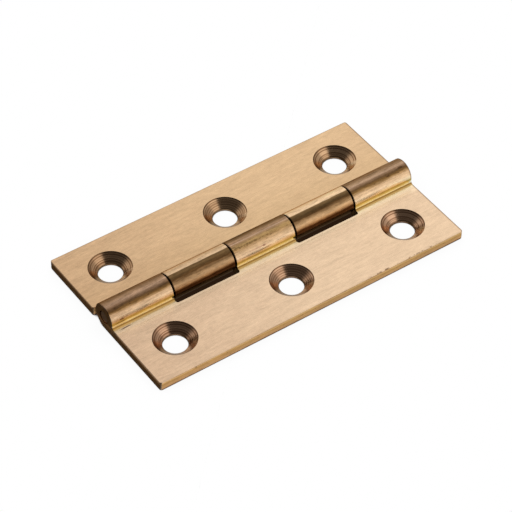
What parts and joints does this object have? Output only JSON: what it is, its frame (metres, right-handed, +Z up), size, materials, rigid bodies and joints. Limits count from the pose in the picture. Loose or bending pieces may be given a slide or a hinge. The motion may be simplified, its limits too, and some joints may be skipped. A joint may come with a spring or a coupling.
{
  "type": "butt hinge",
  "caption": "Solid drawn brass cabinet butt hinge, shown open flat: leaves with countersunk screw holes swing on a pin through a barrel of alternating knuckles.",
  "frame": {"origin": "on the plane of the leaves' undersides, straight below the middle of the pin", "axes": "+X along the pin, +Y from the front leaf (the one with more knuckles) to the rear leaf, +Z up, the way the countersinks face"},
  "size_m": [0.064, 0.035, 0.0052],
  "materials": {
    "front_brass": "satin, brushed along the barrel",
    "rear_brass": "satin, brushed along the barrel",
    "pin_brass": "drawn, dull at the cut ends"
  },
  "bodies": {
    "front": {"front_leaf": "front_brass", "hinge_pin": "pin_brass"},
    "rear": {"rear_leaf": "rear_brass"}
  },
  "joints": [
    {"name": "leaf_swing", "type": "hinge", "parent": "front", "child": "rear", "pos_m": [0, 0, 0.0026], "axis": [1, 0, 0], "range_deg": [-105, 185]}
  ]
}
